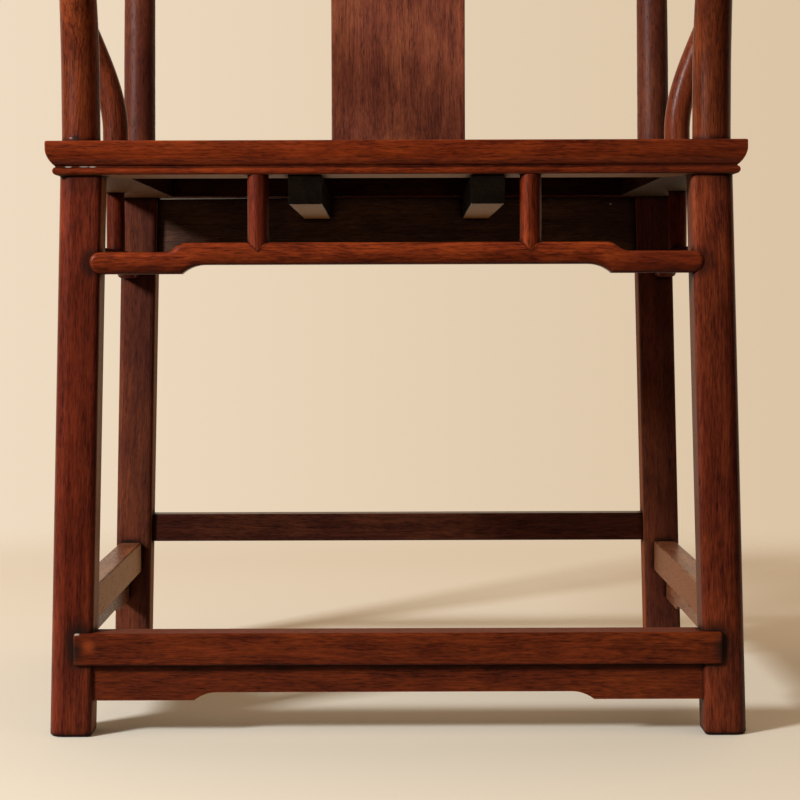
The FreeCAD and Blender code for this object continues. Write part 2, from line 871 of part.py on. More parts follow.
def arm_back_tenon(grow=0):
    """The armrest's tenon into the back post."""
    place, way, _ = along(arm_line(), arm_stations, straight_ends=True)[0]
    return round_tenon(place, way, round_tenon_radius, round_tenon_length / 2,
                       post_radius + tenon_root, grow)


def arm_side_tenon(grow=0):
    """The side post's tenon into the armrest."""
    return round_tenon(arm_line()[1], Vector(0, 0, 1), strut_tenon_radius, arm_front_radius + tenon_root,
                       round_tenon_length / 2, grow)


def side_post_foot_tenon(grow=0):
    """The side post's tenon into the seat rail."""
    return round_tenon(Vector(side_post_x, 0, seat_height), Vector(0, 0, 1), round_tenon_radius,
                       round_tenon_length + tenon_root, tenon_root, grow)


def crest_tenon(grow=0):
    """The back post's tenon into the crest rail."""
    return round_tenon(back_post_point(1), Vector(0, 0, 1), round_tenon_radius,
                       crest_end_height / 2 + tenon_root, round_tenon_length / 2, grow)


def front_leg():
    """The front right leg with its goose-neck post, in one piece."""
    shaft = upright_post(seat_height + neck_foot_rise)
    stick = leg_with_foot().fuse([shaft, neck()])
    stick = stick.cut(front_leg_sockets(fit))
    return stick.cut(armrest(fit)).fuse(arm_front_tenon())


def back_leg():
    """The back right leg with its leaning post, in one piece."""
    shaft = behind(upright_post(seat_height))
    stick = behind(leg_with_foot()).fuse([shaft, back_post()])
    stick = stick.cut(back_leg_sockets(fit) + [arm_back_tenon(fit)])
    return stick.cut(crest_rail(fit)).fuse(crest_tenon())


def finished_armrest():
    """The right armrest with its sockets and its tenon into the back post."""
    arm = armrest().cut([back_post(fit), arm_front_tenon(fit), arm_side_tenon(fit)])
    arm = max(arm.Solids, key=lambda solid: solid.Volume)
    return arm.fuse(arm_back_tenon())


def side_post():
    """The right side post, between the seat rail and the armrest."""
    foot = Vector(side_post_x, 0, seat_height + side_post_foot_rise)
    top = foot + Vector(side_post_swing, 0, side_post_swing_height)
    shaft = Part.makeCylinder(side_post_foot_radius, side_post_foot_rise,
                              Vector(side_post_x, 0, seat_height))
    head = Part.makeCylinder(side_post_top_radius, arm_line()[1].z - top.z, top)
    curved = rod(swing(foot, top, side_post_foot_radius, side_post_top_radius))
    post = shaft.fuse([curved, head]).cut(armrest(fit))
    return post.fuse([side_post_foot_tenon(), arm_side_tenon()])


def finished_crest():
    """The crest rail with its sockets."""
    sockets = both_sides([crest_tenon(fit)])
    return crest_rail().cut(sockets + [splat_board(splat_tongue_width, splat_tongue_thickness, fit)])


def legs_for_coping(front=True, back=True):
    """The square legs, grown by the fit, that the members' ends are shaped to."""
    legs = []
    if front:
        legs += both_sides([leg_stick(fit)])
    if back:
        legs += both_sides([behind(leg_stick(fit))])
    return legs


def coped(bar, legs, tongues):
    """A member whose ends are shaped to the legs and carry tongues."""
    return bar.cut(legs).fuse(tongues)


def front_hump_stretcher():
    """The front humped stretcher, its rounded ends lapped over the legs."""
    tongues = both_sides([tongue_to_side(hump_z, front_hump_y, hump_tongue_height)])
    bar = coped(front_hump_bar(), legs_for_coping(back=False), tongues)
    for x in front_strut_places:
        bar = bar.cut([strut(x, front_strut_y, "x")] + strut_tenons(x, front_strut_y, fit))
    return bar


def side_hump_stretcher():
    """The right humped stretcher."""
    y = side_strut_spacing / 2
    tongues = front_and_back([tongue_to_front(hump_z, side_hump_x, hump_tongue_height)])
    bar = coped(side_hump_bar(), legs_for_coping(), tongues)
    return bar.cut(front_and_back([strut(side_strut_x, -y, "y")] + strut_tenons(side_strut_x, -y, fit)))


def whole_strut(x, y, across):
    """A strut with both its tenons."""
    return strut(x, y, across).fuse(strut_tenons(x, y))


def brace_turn(shape):
    """Put a shape of the straight brace at its place on the right, spread towards the back."""
    front = brace_front_inset - half_depth
    length = back_apron_y[0] - fit - front
    angle = math.degrees(math.atan2((brace_back_spacing - brace_front_spacing) / 2, length))
    copy = shape.copy()
    copy.rotate(Vector(0, front, 0), Vector(0, 0, 1), -angle)
    copy.translate(Vector(brace_front_spacing / 2, 0, 0))
    return copy


def brace_tenons(grow=0):
    """The right brace's stub tenons into the front and back rails."""
    top = seat_underside
    front = brace_front_inset + brace_tenon_setback - half_depth
    back = opening_y + brace_tenon_setback / 2
    return [brace_turn(block(around(0, brace_tenon_width), (start, start + brace_tenon_length),
                             (top - tenon_root, top + brace_tenon_height), grow))
            for start in (front, back)]


def seat_brace():
    """The right brace, lapped under the front and back rails."""
    front = brace_front_inset - half_depth
    back = back_apron_y[0] - 2 * fit
    outline = Outline(front, seat_underside).line(front, seat_underside - brace_front_height)
    outline.line(back, seat_underside - brace_back_height).line(back, seat_underside)
    bar = sideways(outline, around(0, brace_width))
    lower = [edge for edge in bar.Edges if edge.BoundBox.ZMax < seat_underside - brace_back_height / 2
             and edge.BoundBox.YLength > brace_width]
    return brace_turn(bar.makeFillet(brace_edge_radius, lower)).fuse(brace_tenons())


def back_apron():
    """The board under the back rail, its ends in grooves of the back legs."""
    ends = both_sides([groove_to_side(*back_apron_ends)])
    length = ends[0].BoundBox.XMax - ends[1].BoundBox.XMin
    closed = seat_underside - back_apron_gap_right
    top = ((length / 2, closed), (back_apron_gap_length - length / 2, closed),
           (-length / 2, seat_underside - back_apron_gap_left))
    outline = stepped_board(length, top, seat_underside - back_apron_drop,
                            seat_underside - back_apron_end_drop, back_apron_middle_span, back_apron_step)
    return upright(outline, back_apron_y)


def foot_apron():
    """The board under the footrest, its ends in grooves of the front legs."""
    ends = both_sides([groove_to_side(*front_apron_ends)])
    length = ends[0].BoundBox.XMax - ends[1].BoundBox.XMin
    outline = stepped_board(length, level_top(length, footrest_bottom), footrest_bottom - foot_apron_height,
                            footrest_bottom - foot_apron_end_height, foot_apron_middle_span,
                            foot_apron_step, foot_apron_recess_offset)
    return upright(outline, foot_apron_y)


def side_apron():
    """The board under the right lower stretcher, its ends in grooves of the legs."""
    ends = front_and_back([groove_to_front(*side_apron_ends)])
    length = ends[1].BoundBox.YMax - ends[0].BoundBox.YMin
    outline = stepped_board(length, level_top(length, side_stretcher_foot),
                            side_stretcher_foot - side_apron_height,
                            side_stretcher_foot - side_apron_end_height,
                            side_apron_middle_span, side_apron_step)
    return sideways(outline, side_apron_x)


def footrest():
    """The footrest, notched round the front legs and lapped over their faces."""
    half_length = leg_x(footrest_z) - leg_width / 2 + footrest_lap
    bar = block((-half_length, half_length), footrest_y, (footrest_bottom, footrest_top))
    bar = bar.makeFillet(footrest_rounding, bar.Edges)
    tongues = both_sides([tongue_to_side(footrest_z, footrest_tongue_y, footrest_tongue_height)])
    return coped(bar, legs_for_coping(back=False), tongues)


def bar_section(centre, width, foot, height):
    """Section of a straight stretcher with rounded corners."""
    left, right = around(centre, width)
    corners = [(left, foot), (right, foot), (right, foot + height), (left, foot + height)]
    return rounded_polygon(corners, [stretcher_rounding] * len(corners))


def side_stretcher():
    """The right lower stretcher."""
    reach = leg_y(side_stretcher_z)
    section = bar_section(side_stretcher_x, side_stretcher_width, side_stretcher_foot, side_stretcher_height)
    bar = upright(section, (-reach + leg_width / 2 - tenon_root, reach - leg_width / 2 + tenon_root))
    tongues = front_and_back([tongue_to_front(side_stretcher_z, side_stretcher_x, side_tongue_height)])
    return coped(bar, legs_for_coping(), tongues)


def back_stretcher():
    """The lower stretcher between the back legs."""
    reach = leg_x(back_stretcher_z)
    y = leg_y(back_stretcher_z)
    section = bar_section(y, back_stretcher_depth, back_stretcher_foot, back_stretcher_height)
    bar = sideways(section, (-reach + leg_width / 2 - tenon_root, reach - leg_width / 2 + tenon_root))
    tongues = both_sides([tongue_to_side(back_stretcher_z, y, back_tongue_height)])
    return coped(bar, legs_for_coping(front=False), tongues)


def strip(outer_half, length):
    """A pressing strip as it lies at the front, on the mat."""
    low = seat_height - rabbet_depth + mat_thickness
    return plan(strip_plan(outer_half, length), (low, seat_height))


def chair():
    """Every piece by its name."""
    nodes = {}
    long_rail = seat_rail(half_depth, seat_width).fuse(both_sides([corner_tenon()]))
    short_rail = seat_rail(half_width, seat_depth)
    pegs = seat_pegs()
    peg_holes = seat_pegs(fit)
    holes = front_and_back(both_sides([post_hole()]))
    strut_y = side_strut_spacing / 2
    front_sockets = both_sides(brace_tenons(fit)[:1])
    front_sockets += [strut_tenons(x, front_strut_y, fit)[0] for x in front_strut_places]
    back_sockets = both_sides(brace_tenons(fit)[1:]) + [splat_foot_tongue(fit)]
    side_sockets = front_and_back(strut_tenons(side_strut_x, -strut_y, fit)[:1] + [corner_tenon(fit)])
    side_sockets = both_sides(side_sockets + [side_post_foot_tenon(fit)])
    nodes["seat_rail_front"] = long_rail.cut(holes + front_sockets + peg_holes)
    nodes["seat_rail_back"] = behind(long_rail).cut(holes + back_sockets + peg_holes)
    for name, turn in (("right", 90), ("left", 270)):
        nodes["seat_rail_" + name] = turned(short_rail, turn).cut(holes + side_sockets + peg_holes)

    nodes["seat_mat"] = seat_mat().cut(peg_holes)
    strips = (("front", half_depth, seat_width, 0), ("right", half_width, seat_depth, 90),
              ("back", half_depth, seat_width, 180), ("left", half_width, seat_depth, 270))
    for name, outer_half, length, turn in strips:
        nodes["mat_strip_" + name] = turned(strip(outer_half, length), turn).cut(peg_holes)
    nodes["mat_pegs"] = Part.makeCompound(pegs)

    right_side = {"front_leg": front_leg(), "back_leg": back_leg(), "armrest": finished_armrest(),
                  "side_post": side_post(), "seat_brace": seat_brace(),
                  "side_hump_stretcher": side_hump_stretcher(), "side_stretcher": side_stretcher(),
                  "side_apron": side_apron(),
                  "side_strut_front": whole_strut(side_strut_x, -strut_y, "y"),
                  "side_strut_back": whole_strut(side_strut_x, strut_y, "y")}
    for name, shape in right_side.items():
        nodes[name + "_right"] = shape
        nodes[name + "_left"] = left_of(shape)
    for side, x in zip(("right", "left"), front_strut_places):
        nodes["front_strut_" + side] = whole_strut(x, front_strut_y, "x")

    nodes["crest_rail"] = finished_crest()
    nodes["splat"] = splat()
    nodes["front_hump_stretcher"] = front_hump_stretcher()
    nodes["back_apron"] = back_apron()
    nodes["footrest"] = footrest()
    nodes["footrest_apron"] = foot_apron()
    nodes["back_stretcher"] = back_stretcher()
    return nodes


def main():
    os.makedirs("parts", exist_ok=True)
    nodes = chair()
    whole = Part.makeCompound(list(nodes.values())).optimalBoundingBox(False)
    to_centre = Vector(0, -(whole.YMin + whole.YMax) / 2, 0)
    for name, shape in sorted(nodes.items()):
        shape.translate(to_centre)
        shape.exportStep("parts/" + name + ".step")
        print(name, "solids:", len(shape.Solids), "valid:", shape.isValid(), "volume:", round(shape.Volume))
    sides = (whole.XLength, whole.YLength, whole.ZLength)
    print("moved by", round(to_centre.y, 3), "size", [round(side, 2) for side in sides])


main()
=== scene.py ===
import math
import random

import bpy
from mathutils import Matrix, Vector


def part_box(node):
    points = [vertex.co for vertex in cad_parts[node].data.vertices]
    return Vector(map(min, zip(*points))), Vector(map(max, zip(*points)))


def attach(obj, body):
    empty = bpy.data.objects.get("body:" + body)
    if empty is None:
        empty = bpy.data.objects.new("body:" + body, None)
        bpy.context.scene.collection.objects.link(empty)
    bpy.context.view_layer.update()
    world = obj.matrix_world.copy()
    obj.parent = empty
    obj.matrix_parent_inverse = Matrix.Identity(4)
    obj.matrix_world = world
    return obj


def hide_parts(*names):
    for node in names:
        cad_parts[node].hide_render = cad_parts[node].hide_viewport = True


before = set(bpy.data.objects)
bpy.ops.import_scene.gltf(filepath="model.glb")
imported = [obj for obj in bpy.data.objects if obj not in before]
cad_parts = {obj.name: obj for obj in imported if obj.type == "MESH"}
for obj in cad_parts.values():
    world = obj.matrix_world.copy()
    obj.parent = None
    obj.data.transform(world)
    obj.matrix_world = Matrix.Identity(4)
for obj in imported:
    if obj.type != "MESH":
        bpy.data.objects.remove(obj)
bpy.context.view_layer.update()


# Camera: 380 mm above the floor and a little under 2 m in front, tipped down by 3 degrees.
camera_place = (0.0, -1.99551, 0.38062)
camera_pitch_down = math.radians(2.915)
camera_turn_right = math.radians(0.078)
camera_roll = math.radians(0.17)
camera_lens_mm = 92.79
camera_sensor_mm = 36.0

# Light: one lamp on the front left, and a sky that is brightest above and behind.
key_place = (-2.55, -2.24, 1.89)
key_target = (0.0, 0.0, 0.35)
key_size = 0.64
key_power = 186.0
key_colour = (1.0, 0.99, 0.96)
sky_colour = (1.0, 0.70, 0.46)
sky_ramp = (-0.4, 1.0, 0.10, 0.95)
sky_axis = (0.0, 0.507, 0.862)

# Backdrop: pale paper. The varnish mirrors it behind the chair, and a dim room in front.
backdrop_left = (0.860, 0.706, 0.530)
backdrop_right = (0.712, 0.550, 0.377)
backdrop_reach = 0.19
backdrop_edge_ramp = (0.10, 0.50)
room_colour = (0.030, 0.022, 0.016)

# Floor: pale matt paper that fades into the backdrop away from the chair.
floor_radius = 1.6
floor_corners = 96
floor_fade_ramp = (0.90, 1.50)
floor_seen = (0.62, 0.60, 0.53)
floor_lit = (0.36, 0.31, 0.24)
floor_front_ramp = (0.55, 0.75)
# The paper is painted paler towards the back and darker towards the front: painted light that evens out
# the lamp's fall-off.
floor_forward_ramp = (-0.8, 0.5, 1.07, 0.975)
floor_grain_noise, floor_grain_ramp = (700.0, 2.0), (0.3, 0.7, 0.985, 1.015)

# A noise has its waves a metre, its detail and, if that isn't half, its roughness. A ramp has two inputs
# and the two outputs that they become, or else 0 and 1.
noise_middle = (0.5, 0.5, 0.5)


class Net:
    """A node tree, with short calls for the nodes used here."""

    def __init__(self, tree):
        self.tree = tree

    def node(self, kind, inputs=None, **settings):
        made = self.tree.nodes.new(kind)
        for name, value in settings.items():
            setattr(made, name, value)
        self.fill(made, inputs or {})
        return made

    def fill(self, made, inputs):
        for key, value in inputs.items():
            if isinstance(value, bpy.types.NodeSocket):
                self.tree.links.new(value, made.inputs[key])
            else:
                made.inputs[key].default_value = value

    def math(self, operation, *values):
        made = self.node("ShaderNodeMath", dict(enumerate(values)), operation=operation)
        return made.outputs[0]

    def vector(self, operation, *values):
        made = self.node("ShaderNodeVectorMath", dict(enumerate(values)), operation=operation)
        return made.outputs[1 if operation in ("DOT_PRODUCT", "LENGTH") else 0]

    def noise(self, place, scale, detail=2.0, rough=0.5):
        inputs = {"Vector": place, "Scale": scale, "Detail": detail, "Roughness": rough}
        return self.node("ShaderNodeTexNoise", inputs)

    def ramp(self, value, low, high, to_low=0.0, to_high=1.0, smooth=True):
        kind = "SMOOTHSTEP" if smooth else "LINEAR"
        inputs = {0: value, 1: low, 2: high, 3: to_low, 4: to_high}
        return self.node("ShaderNodeMapRange", inputs, interpolation_type=kind).outputs[0]

    def mix(self, share, first, second, blend="MIX"):
        inputs = {0: share, 6: first, 7: second}
        made = self.node("ShaderNodeMix", inputs, data_type="RGBA", blend_type=blend)
        return made.outputs[2]

    def tint(self, base, by):
        """Multiplies a colour by a colour or a number."""
        return self.mix(1.0, base, by, "MULTIPLY")

    def place(self):
        return self.node("ShaderNodeTexCoord").outputs["Object"]

    def split(self, place):
        return self.node("ShaderNodeSeparateXYZ", {0: place}).outputs

    def from_axis(self, place):
        """Distance from the Z axis."""
        return self.vector("LENGTH", self.vector("MULTIPLY", place, (1.0, 1.0, 0.0)))

    def openness(self, distance, samples):
        """How open a surface is, as far as a distance: 1 on a plain face, and less in a hollow."""
        made = self.node("ShaderNodeAmbientOcclusion", {"Distance": distance}, samples=samples)
        return made.outputs["AO"]

    def drawn_noise(self, place, stretch, noise):
        """Noise that a stretch draws out along an axis."""
        return self.noise(self.vector("MULTIPLY", place, stretch), *noise).outputs[0]

    def figure(self, place, stretch, noise, ramp):
        """The share of a drawn-out noise that a ramp cuts out."""
        return self.ramp(self.drawn_noise(place, stretch, noise), *ramp)

    def stray(self, place, noise, reach):
        """A random shift, of up to half a reach either way."""
        shift = self.vector("SUBTRACT", self.noise(place, *noise).outputs["Color"], noise_middle)
        return self.vector("MULTIPLY", shift, reach)


def colour(rgb):
    return (*rgb, 1.0)


def new_material(name):
    material = bpy.data.materials.new(name)
    material.use_nodes = True
    material.node_tree.nodes.clear()
    return material, Net(material.node_tree)


def finish_material(net, base, rough, height, bump_depth, ior):
    bump = net.node("ShaderNodeBump", {"Height": height, "Distance": bump_depth})
    inputs = {"Base Color": base, "Roughness": rough, "Normal": bump.outputs[0], "IOR": ior}
    shader = net.node("ShaderNodeBsdfPrincipled", inputs)
    net.node("ShaderNodeOutputMaterial", {0: shader.outputs[0]})


# Wood: reddish-brown hardwood with dark streaks, under a satin varnish.
varnish_ior = 1.18
bare_ior = 1.14
varnish_rough = 0.27
wood_bump_depth = 0.00005
dark_streak = (0.30, 0.26, 0.30)
orange_tint = (1.36, 1.50, 1.15)
soot_and_shade = (0.010, 0.005, 0.004)

# Figure of the wood. Most parts have a stretch, which draws them out along the grain, a noise and a ramp.
wander_stretch, wander_noise, wander_reach = (1.0, 1.0, 0.3), (11.0, 2.0), (0.022, 0.022, 0.0)
ring_climb, ring_noise, ring_ramp = 0.03, (150.0, 4.0, 0.65), (0.34, 0.66)
line_figure = ((1.0, 1.0, 0.05), (560.0, 3.0, 0.70), (0.32, 0.66))
fibre_figure = ((1.0, 1.0, 0.12), (850.0, 2.0, 0.6), (0.32, 0.68))
mottle_figure = ((1.0, 1.0, 0.40), (38.0, 4.0, 0.62), (0.36, 0.64))
orange_figure = ((1.0, 1.0, 0.40), (19.0, 3.0, 0.6), (0.40, 0.62))
streak_figure = ((1.0, 1.0, 0.035), (260.0, 4.0, 0.7), (0.55, 0.76, 0.0, 0.50))
pore_figure = ((1.0, 1.0, 0.11), (900.0, 1.0, 0.5), (0.58, 0.68))
ring_share, line_share, fibre_share, mottle_share = 0.24, 0.28, 0.28, 0.20
tone_ramp = (0.12, 0.88)
pore_tone_ramp = (0.3, 0.7, 1.0, 0.45)
pore_darkness = 0.7
fibre_rough, pore_rough = 0.06, 0.14
fibre_height, pore_height = 0.35, -1.0


def make_wood_figure():
    """The figure of the wood, in metres, about a trunk that stands along Z."""
    tree = bpy.data.node_groups.new("wood_figure", "ShaderNodeTree")
    sockets = (
        ("INPUT", "Grain", "Vector"), ("INPUT", "Pale", "Color"), ("INPUT", "Deep", "Color"),
        ("OUTPUT", "Color", "Color"), ("OUTPUT", "Roughness", "Float"), ("OUTPUT", "Height", "Float"),
    )
    for way, name, kind in sockets:
        tree.interface.new_socket(name, in_out=way, socket_type="NodeSocket" + kind)
    net = Net(tree)
    given = net.node("NodeGroupInput").outputs

    wander = net.stray(net.vector("MULTIPLY", given["Grain"], wander_stretch), wander_noise, wander_reach)
    bent = net.vector("ADD", given["Grain"], wander)
    climb = net.math("MULTIPLY", net.split(bent)[2], ring_climb)
    ring_place = net.node("ShaderNodeCombineXYZ", {0: net.from_axis(bent), 2: climb}).outputs[0]
    rings = net.ramp(net.noise(ring_place, *ring_noise).outputs[0], *ring_ramp)
    lines = net.figure(bent, *line_figure)
    fibre = net.figure(bent, *fibre_figure)
    mottle = net.figure(bent, *mottle_figure)

    tone = net.math("MULTIPLY", rings, ring_share)
    tone = net.math("MULTIPLY_ADD", lines, line_share, tone)
    tone = net.math("MULTIPLY_ADD", fibre, fibre_share, tone)
    tone = net.math("MULTIPLY_ADD", mottle, mottle_share, tone)
    shade = net.mix(net.ramp(tone, *tone_ramp, smooth=False), given["Deep"], given["Pale"])
    orange = net.figure(bent, *orange_figure)
    shade = net.mix(net.math("MULTIPLY", orange, tone), shade, colour(orange_tint), "MULTIPLY")
    shade = net.mix(net.figure(bent, *streak_figure), shade, colour(dark_streak), "MULTIPLY")
    pore = net.math("MULTIPLY", net.figure(bent, *pore_figure), net.ramp(tone, *pore_tone_ramp))
    shade = net.mix(net.math("MULTIPLY", pore, pore_darkness), shade, colour(dark_streak), "MULTIPLY")

    rough = net.math("MULTIPLY_ADD", fibre, fibre_rough, varnish_rough)
    rough = net.math("MULTIPLY_ADD", pore, pore_rough, rough)
    raised = net.math("MULTIPLY_ADD", pore, pore_height, net.math("MULTIPLY", fibre, fibre_height))
    net.node("NodeGroupOutput", {"Color": shade, "Roughness": rough, "Height": raised})
    return tree


wood_figure = make_wood_figure()

# The legs lean inwards by this much on their way up to the seat frame, where their middle is this far out.
leg_rise = 0.4836
leg_lean = (0.0132, 0.0058)
leg_top_x = 0.2704


def grain_turn(node_name, grain):
    """Turns a member so that its length stands along Z. The legs lean inwards on their way up."""
    along = Vector([float(axis == grain) for axis in "xyz"])
    if "_leg_" in node_name:
        along.x = leg_lean[0] / leg_rise * (1 if "left" in node_name else -1)
        along.y = leg_lean[1] / leg_rise * (1 if "front" in node_name else -1)
    return along.rotation_difference(Vector((0.0, 0.0, 1.0))).to_matrix()


mark_core = 0.55

# Seams at the feet of the front struts
strut_places = (-0.11865, 0.11485)
strut_tip = 0.41800
vee_slope = 0.85
seam_ramp = (0.0004, 0.0013, 0.55, 0.0)
seam_side_ramp = (0.0092, 0.0100, 1.0, 0.0)
seam_front_ramp = (-0.2240, -0.2220, 1.0, 0.0)

# Inner faces of the seat frame, raw wood darkened further by painted shade: half the opening each way, and
# its middle from front to back
opening_half = (0.2335, 0.1670)
seat_middle = -0.005514
raw_and_shade_tint = (0.28, 0.42, 0.50)
raw_and_shade_ramp = (0.0002, 0.0010, 1.0, 0.0)


def mark(net, at, base, centre, reach, tint, strength, core=mark_core):
    """Lays one small soft-edged mark over a surface's colour. Its core is a share of its reach."""
    away = net.vector("LENGTH", net.vector("DIVIDE", net.vector("SUBTRACT", at, centre), reach))
    return net.mix(net.ramp(away, core, 1.0, strength, 0.0), base, colour(tint))


def vee(net, at, base, centre_x):
    """A dirty seam where a strut's pointed foot is let into the front stretcher."""
    x, y, z = net.split(at)
    aside = net.math("ABSOLUTE", net.math("SUBTRACT", x, centre_x))
    line = net.math("MULTIPLY_ADD", aside, vee_slope, strut_tip)
    off = net.math("ABSOLUTE", net.math("SUBTRACT", z, line))
    seam = net.ramp(off, *seam_ramp)
    seam = net.math("MULTIPLY", seam, net.ramp(aside, *seam_side_ramp))
    seam = net.math("MULTIPLY", seam, net.ramp(y, *seam_front_ramp))
    return net.mix(seam, base, colour(soot_and_shade))


def inner_shade(net, at, base):
    """Darkens the inner faces of the seat frame: raw wood, with painted shade over it."""
    x, y, _ = net.split(at)
    beside = net.math("SUBTRACT", net.math("ABSOLUTE", x), opening_half[0])
    behind = net.math("ABSOLUTE", net.math("SUBTRACT", y, seat_middle))
    behind = net.math("SUBTRACT", behind, opening_half[1])
    within = net.ramp(net.math("MAXIMUM", beside, behind), *raw_and_shade_ramp)
    return net.mix(within, base, colour(raw_and_shade_tint), "MULTIPLY")


# Painted light and shade that run across a member
leg_falloff_ramp = (-0.017, 0.016, 1.16, 0.74)
bar_step_ramp = (0.164, 0.184, 0.4163, 0.4085)
bar_falloff_ramp = (-0.006, 0.0045, 0.68, 1.40)
strut_edge_ramp = (-0.0090, -0.0062, 0.42, 1.0)
strut_falloff_ramp = (-0.0045, 0.0010, 1.55, 0.82)


def leg_falloff(net, at, node_name):
    """A leg is painted paler towards the chair's left and darker towards its right: painted light and
    shade. It follows the leg's lean.
    """
    x, _, z = net.split(at)
    side = -1 if "left" in node_name else 1
    slope = leg_lean[0] / leg_rise
    centre = net.math("MULTIPLY_ADD", z, -side * slope, side * (leg_top_x + leg_lean[0]))
    return net.ramp(net.math("SUBTRACT", x, centre), *leg_falloff_ramp)


def bar_falloff(net, at):
    """The front humped stretcher is painted paler towards its top and darker below, along its raised
    middle and its low ends: painted light and shade.
    """
    x, _, z = net.split(at)
    centre = net.ramp(net.math("ABSOLUTE", x), *bar_step_ramp)
    return net.ramp(net.math("SUBTRACT", z, centre), *bar_falloff_ramp)


def strut_falloff(net, at, node_name):
    """A front strut has a painted highlight along its left, and painted shade at its very edge and towards
    its right.
    """
    strut_x = strut_places[1 if "right" in node_name else 0]
    across = net.math("SUBTRACT", net.split(at)[0], strut_x)
    return net.math("MULTIPLY", net.ramp(across, *strut_edge_ramp), net.ramp(across, *strut_falloff_ramp))


# Faces with painted reflection and shade, hollows with grime and painted shade, edges with wear and a
# painted highlight, and the raggedness of small marks
face_light_ramp = (0.90, 0.99)
face_light_dullness = 0.20
face_light_leg_top_ramp = (0.480, 0.484, 1.0, 0.0)
face_light_grain_ramp = (-1.0, 0.35, 0.5, 1.1)
hollow_distance, hollow_samples = 0.009, 8
hollow_dull_ramp, hollow_dullness = (0.5, 0.9, 1.0, 0.0), 0.25
dirt_noise = (160.0, 3.0, 0.6)
grime_and_shade_raggedness, grime_and_shade_ramp = -0.25, (0.34, 0.84, 0.16, 1.0)
back_leg_dullness = 0.15
edge_radius, edge_samples = 0.0016, 6
edge_wear_and_highlight_ramp = (0.015, 0.15)
edge_wear_and_highlight_open_ramp = (0.85, 1.0)
edge_wear_and_highlight_dirt_ramp = (0.40, 0.62, 0.10, 0.65)
edge_wear_and_highlight_paleness = 1.9
mark_edge_noise, mark_edge_reach = (500.0, 2.0), (0.003, 0.003, 0.0008)


def paint_face_light(net, node_name, base, rough, height, normal, up):
    """Paints the faces of a member that look one way with the reflection or shade that they show, and
    makes them duller.
    """
    looks, tint = faces_with_painted_light[node_name]
    facing = net.ramp(net.vector("DOT_PRODUCT", normal, looks), *face_light_ramp)
    if "_leg_" in node_name:
        facing = net.math("MULTIPLY", facing, net.ramp(up, *face_light_leg_top_ramp))
    painted = net.tint(colour(tint), net.ramp(height, *face_light_grain_ramp))
    return net.mix(facing, base, painted), net.math("MULTIPLY_ADD", facing, face_light_dullness, rough)


def paint_light_across(net, at, base, node_name):
    """Paints light and shade across a member's width, paler on one side and darker on the other."""
    if "_leg_" in node_name:
        return net.tint(base, leg_falloff(net, at, node_name))
    if node_name == "front_hump_stretcher":
        return net.tint(base, bar_falloff(net, at))
    if node_name.startswith("front_strut"):
        return net.tint(base, strut_falloff(net, at, node_name))
    return base


def wear_and_highlight_edges(net, base, pale, normal, openness, dirt):
    """Makes a member's open edges pale, in places: partly wear and partly a painted edge highlight."""
    soft = net.node("ShaderNodeBevel", {"Radius": edge_radius}, samples=edge_samples).outputs[0]
    edge = net.math("SUBTRACT", 1.0, net.vector("DOT_PRODUCT", soft, normal))
    wear_and_highlight = net.math("MULTIPLY", net.ramp(edge, *edge_wear_and_highlight_ramp), net.ramp(openness, *edge_wear_and_highlight_open_ramp))
    wear_and_highlight = net.math("MULTIPLY", wear_and_highlight, net.ramp(dirt, *edge_wear_and_highlight_dirt_ramp))
    return net.mix(wear_and_highlight, base, colour(tuple(edge_wear_and_highlight_paleness * channel for channel in pale)))


def placed_marks(net, at, base, node_name, marks):
    """Lays a member's small marks, some of them painted shade, its raw inner faces with their painted
    shade and its dirty seams over its colour.
    """
    ragged = net.vector("ADD", at, net.stray(at, mark_edge_noise, mark_edge_reach))
    for one in marks:
        base = mark(net, ragged, base, *one)
    if node_name.startswith("seat_rail"):
        base = inner_shade(net, at, base)
    if node_name == "front_hump_stretcher" or node_name.startswith("front_strut"):
        for strut_x in strut_places:
            base = vee(net, at, base, strut_x)
    return base


def wood(node_name, grain, pale, deep, ior, place, marks, height_tints):
    """One member's wood. Its grain runs along the member, at a place of its own in the trunk."""
    material, net = new_material("wood_" + node_name)
    at = net.place()
    turn = grain_turn(node_name, grain)
    low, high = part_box(node_name)
    shift = Vector(place) - turn @ ((low + high) / 2)
    inputs = {"Vector": at, "Rotation": turn.to_euler(), "Location": shift}
    in_trunk = net.node("ShaderNodeMapping", inputs).outputs[0]
    figure = net.node("ShaderNodeGroup", node_tree=wood_figure)
    net.fill(figure, {"Grain": in_trunk, "Pale": colour(pale), "Deep": colour(deep)})
    base, rough, height = (figure.outputs[name] for name in ("Color", "Roughness", "Height"))

    openness = net.openness(hollow_distance, hollow_samples)
    dirt = net.noise(at, *dirt_noise).outputs[0]
    normal = net.node("ShaderNodeNewGeometry").outputs["Normal"]
    up = net.split(at)[2]
    # Faces that look one way get a painted reflection or painted shade
    if node_name in faces_with_painted_light:
        base, rough = paint_face_light(net, node_name, base, rough, height, normal, up)
    if node_name.startswith("back_leg"):
        rough = net.math("ADD", rough, back_leg_dullness)
    # Painted light and shade across the legs, the front humped stretcher and the front struts
    base = paint_light_across(net, at, base, node_name)
    # Grime and painted shade: the colour darkens in hollows, where the surface is closed in, with ragged
    # edges from the dirt noise
    clean_and_open = net.math("MULTIPLY_ADD", dirt, grime_and_shade_raggedness, openness)
    base = net.tint(base, net.ramp(clean_and_open, *grime_and_shade_ramp))
    for low_z, high_z, tint in height_tints:
        base = net.mix(net.ramp(up, low_z, high_z), base, colour(tint), "MULTIPLY")
    base = wear_and_highlight_edges(net, base, pale, normal, openness, dirt)
    base = placed_marks(net, at, base, node_name, marks)
    rough = net.math("MULTIPLY_ADD", net.ramp(openness, *hollow_dull_ramp), hollow_dullness, rough)
    finish_material(net, base, rough, height, wood_bump_depth, ior)
    return material


